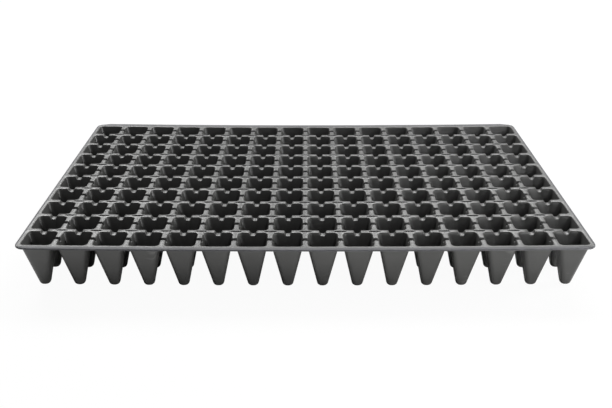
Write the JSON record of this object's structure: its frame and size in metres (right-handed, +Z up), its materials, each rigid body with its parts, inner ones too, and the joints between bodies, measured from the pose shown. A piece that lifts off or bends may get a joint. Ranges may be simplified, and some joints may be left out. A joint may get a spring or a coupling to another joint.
{
  "type": "seed tray",
  "caption": "Flat rectangular seedling tray of dark plastic: a deck with a grid of tapered square cells, channels across the webs between them, and a rim that is narrow at the ends and turned down at its edge.",
  "frame": {"origin": "centre of the tray's outline, at the plane that the cups stand on", "axes": "+X along the long side to the viewer's right in the picture, +Y away from the viewer, +Z up out of the cells"},
  "size_m": [0.6, 0.388, 0.054],
  "materials": {
    "cells": "semi-matt moulded plastic, charcoal",
    "rim": "semi-matt moulded plastic, charcoal, slightly worn"
  },
  "bodies": {
    "root": {"row_01_cells_01_04": "cells", "row_01_cells_05_08": "cells", "row_01_cells_09_12": "cells", "row_01_cells_13_16": "cells", "row_02_cells_01_04": "cells", "row_02_cells_05_08": "cells", "row_02_cells_09_12": "cells", "row_02_cells_13_16": "cells", "row_03_cells_01_04": "cells", "row_03_cells_05_08": "cells", "row_03_cells_09_12": "cells", "row_03_cells_13_16": "cells", "row_04_cells_01_04": "cells", "row_04_cells_05_08": "cells", "row_04_cells_09_12": "cells", "row_04_cells_13_16": "cells", "row_05_cells_01_04": "cells", "row_05_cells_05_08": "cells", "row_05_cells_09_12": "cells", "row_05_cells_13_16": "cells", "row_06_cells_01_04": "cells", "row_06_cells_05_08": "cells", "row_06_cells_09_12": "cells", "row_06_cells_13_16": "cells", "row_07_cells_01_04": "cells", "row_07_cells_05_08": "cells", "row_07_cells_09_12": "cells", "row_07_cells_13_16": "cells", "row_08_cells_01_04": "cells", "row_08_cells_05_08": "cells", "row_08_cells_09_12": "cells", "row_08_cells_13_16": "cells", "row_09_cells_01_04": "cells", "row_09_cells_05_08": "cells", "row_09_cells_09_12": "cells", "row_09_cells_13_16": "cells", "row_10_cells_01_04": "cells", "row_10_cells_05_08": "cells", "row_10_cells_09_12": "cells", "row_10_cells_13_16": "cells", "rim": "rim"}
  },
  "joints": []
}
